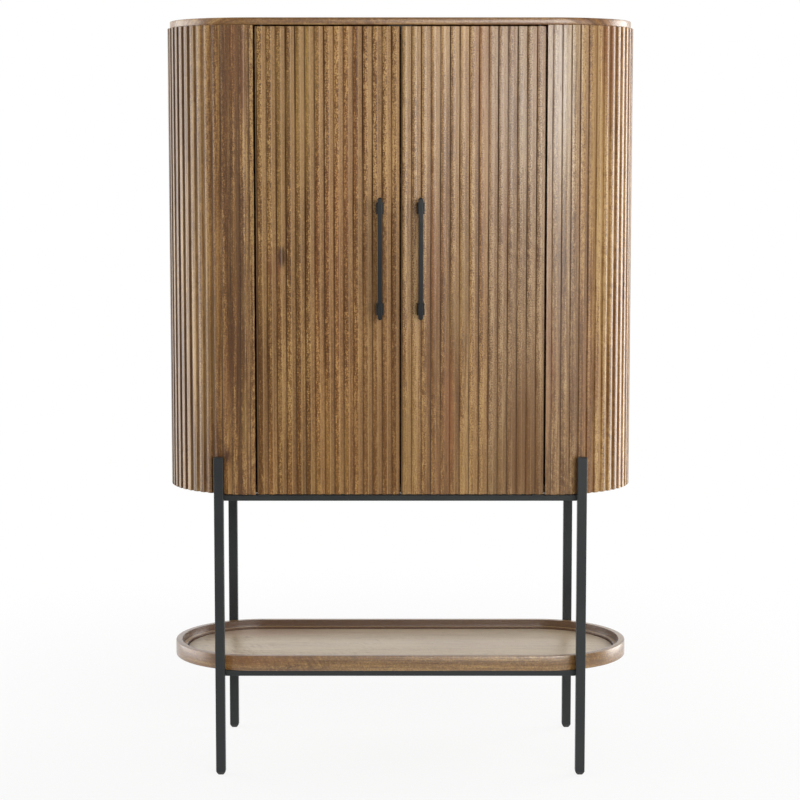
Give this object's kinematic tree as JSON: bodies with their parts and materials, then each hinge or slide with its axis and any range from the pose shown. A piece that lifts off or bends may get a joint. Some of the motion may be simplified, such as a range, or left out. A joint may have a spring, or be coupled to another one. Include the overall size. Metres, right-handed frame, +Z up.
{
  "type": "highboard",
  "caption": "Tall oval highboard with vertical ribbed wood doors and walls, dark bar handles, and a slim black steel base carrying a low oval wooden tray.",
  "frame": {"origin": "on the floor, under the middle of the whole object's bounding box", "axes": "+Z up, -Y towards the viewer on the door side, +X to the viewer's right"},
  "size_m": [1, 0.4222, 1.6],
  "materials": {
    "mango_wood": "satin clear lacquer over warm brown mango wood",
    "black_powder_coat": "satin black powder coat",
    "zinc_steel": "bright zinc",
    "black_plastic": "matt black"
  },
  "bodies": {
    "cabinet": {"top_panel": "mango_wood", "bottom_panel": "mango_wood", "back_panel": "mango_wood", "left_wall": "mango_wood", "right_wall": "mango_wood", "upper_shelf": "mango_wood", "lower_shelf": "mango_wood", "shelf_cleat_upper_left": "mango_wood", "shelf_cleat_upper_right": "mango_wood", "shelf_cleat_lower_left": "mango_wood", "shelf_cleat_lower_right": "mango_wood", "tray_rim": "mango_wood", "tray_floor": "mango_wood", "leg_front_left": "black_powder_coat", "leg_front_right": "black_powder_coat", "leg_rear_left": "black_powder_coat", "leg_rear_right": "black_powder_coat", "upper_rail_front": "black_powder_coat", "upper_rail_rear": "black_powder_coat", "upper_rail_left": "black_powder_coat", "upper_rail_right": "black_powder_coat", "lower_rail_front": "black_powder_coat", "lower_rail_rear": "black_powder_coat", "lower_rail_left": "black_powder_coat", "lower_rail_right": "black_powder_coat", "lower_pivot_plate_left": "black_powder_coat", "lower_pivot_plate_right": "black_powder_coat", "lower_pivot_washer_left": "black_plastic", "lower_pivot_washer_right": "black_plastic", "upper_pivot_bush_left": "black_plastic", "upper_pivot_bush_right": "black_plastic", "base_screw_front_left": "zinc_steel", "base_screw_front_right": "zinc_steel", "base_screw_rear_left": "zinc_steel", "base_screw_rear_right": "zinc_steel", "glide_front_left": "black_plastic", "glide_front_right": "black_plastic", "glide_rear_left": "black_plastic", "glide_rear_right": "black_plastic", "spacer_pad_left": "black_plastic", "spacer_pad_right": "black_plastic", "magnet_catch": "black_plastic"},
    "left_door": {"left_door": "mango_wood", "upper_pivot_pin_left": "zinc_steel", "lower_pivot_pin_left": "zinc_steel", "handle_bar_left": "black_powder_coat", "handle_post_left_upper": "black_powder_coat", "handle_post_left_lower": "black_powder_coat", "handle_screw_left_upper": "zinc_steel", "handle_screw_left_lower": "zinc_steel", "strike_plate_left": "zinc_steel"},
    "right_door": {"right_door": "mango_wood", "upper_pivot_pin_right": "zinc_steel", "lower_pivot_pin_right": "zinc_steel", "handle_bar_right": "black_powder_coat", "handle_post_right_upper": "black_powder_coat", "handle_post_right_lower": "black_powder_coat", "handle_screw_right_upper": "zinc_steel", "handle_screw_right_lower": "zinc_steel", "strike_plate_right": "zinc_steel"}
  },
  "joints": [
    {"name": "left_door_swing", "type": "hinge", "parent": "cabinet", "child": "left_door", "pos_m": [-0.2885, -0.16748, 0.6], "axis": [0, 0, -1], "range_deg": [0, 110]},
    {"name": "right_door_swing", "type": "hinge", "parent": "cabinet", "child": "right_door", "pos_m": [0.2885, -0.16748, 0.6], "axis": [0, 0, 1], "range_deg": [0, 110]}
  ]
}
